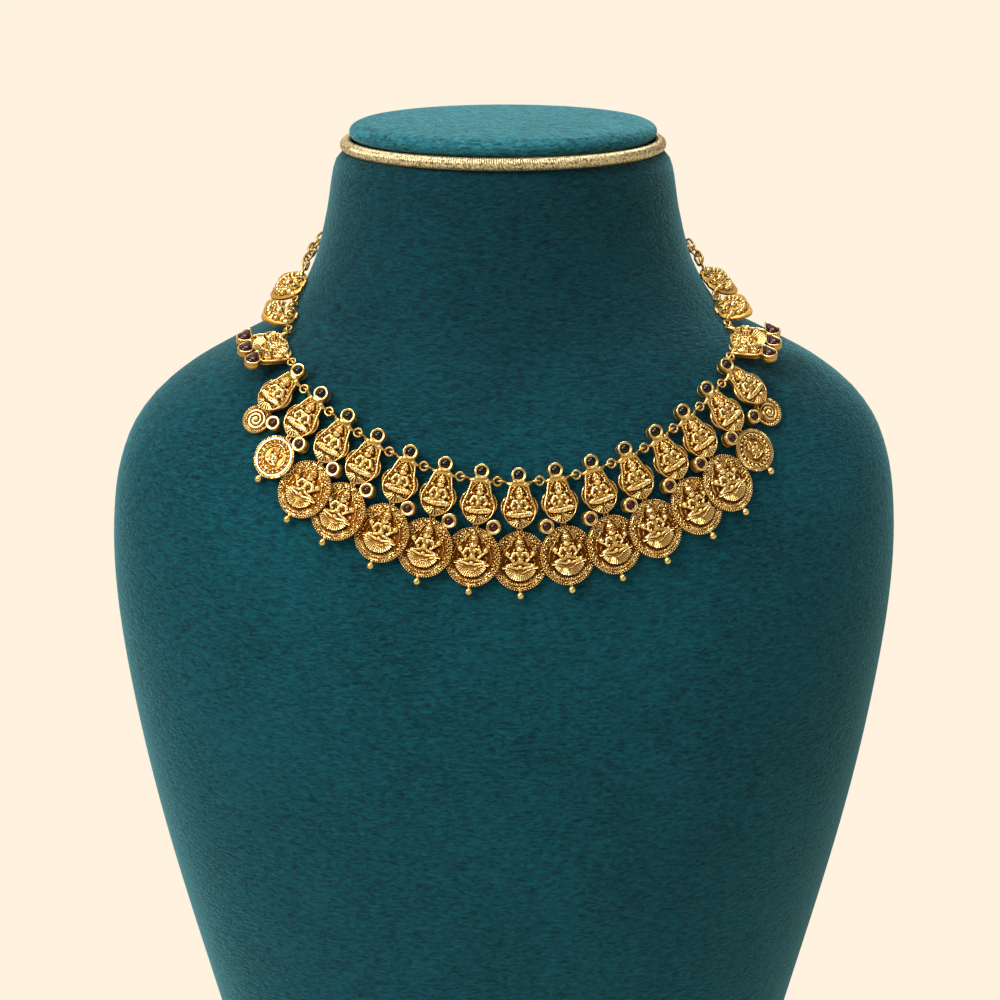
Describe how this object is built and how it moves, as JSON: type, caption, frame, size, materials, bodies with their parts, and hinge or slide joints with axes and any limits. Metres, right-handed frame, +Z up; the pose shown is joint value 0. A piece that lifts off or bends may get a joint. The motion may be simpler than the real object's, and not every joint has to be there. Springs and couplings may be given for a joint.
{
  "type": "gilded silver necklace on neck bust",
  "caption": "Antique-style gilded collar necklace of figure plaques and coins with dark cabochons, worn by a plain teal velvet neck bust with a cord trim.",
  "frame": {"origin": "middle of the whole part's box, on the plane the bust stands on", "axes": "+Z up, -Y the front of the bust, +X the viewer's right when the front is seen"},
  "size_m": [0.2484, 0.137, 0.3],
  "materials": {
    "velvet": "teal velvet with a fine horizontal nap",
    "gold_cord": "ribbed gold trim cord",
    "gilded_silver": "antique gilding, bright on the raised parts and dark brown in the recesses",
    "black_cabochon": "polished black cabochon",
    "garnet": "polished dark garnet cabochon"
  },
  "bodies": {
    "root": {"bust_body": "velvet", "bust_pad": "velvet", "bust_trim": "gold_cord", "plaque_middle": "gilded_silver", "plaque_l1": "gilded_silver", "plaque_l2": "gilded_silver", "plaque_l3": "gilded_silver", "plaque_l4": "gilded_silver", "plaque_l5": "gilded_silver", "plaque_l6": "gilded_silver", "plaque_l7": "gilded_silver", "plaque_r1": "gilded_silver", "plaque_r2": "gilded_silver", "plaque_r3": "gilded_silver", "plaque_r4": "gilded_silver", "plaque_r5": "gilded_silver", "plaque_r6": "gilded_silver", "plaque_r7": "gilded_silver", "coin_middle": "gilded_silver", "coin_l1": "gilded_silver", "coin_l2": "gilded_silver", "coin_l3": "gilded_silver", "coin_l4": "gilded_silver", "coin_l5": "gilded_silver", "coin_r1": "gilded_silver", "coin_r2": "gilded_silver", "coin_r3": "gilded_silver", "coin_r4": "gilded_silver", "coin_r5": "gilded_silver", "small_coin_l": "gilded_silver", "small_coin_r": "gilded_silver", "paisley_l": "gilded_silver", "paisley_r": "gilded_silver", "fan_plaque_l": "gilded_silver", "fan_plaque_r": "gilded_silver", "knob_plaque_l1": "gilded_silver", "knob_plaque_l2": "gilded_silver", "knob_plaque_r1": "gilded_silver", "knob_plaque_r2": "gilded_silver", "chain_l": "gilded_silver", "chain_r": "gilded_silver", "hook": "gilded_silver", "black_stones": "black_cabochon", "round_garnets": "garnet", "teardrop_garnets": "garnet"}
  },
  "joints": []
}
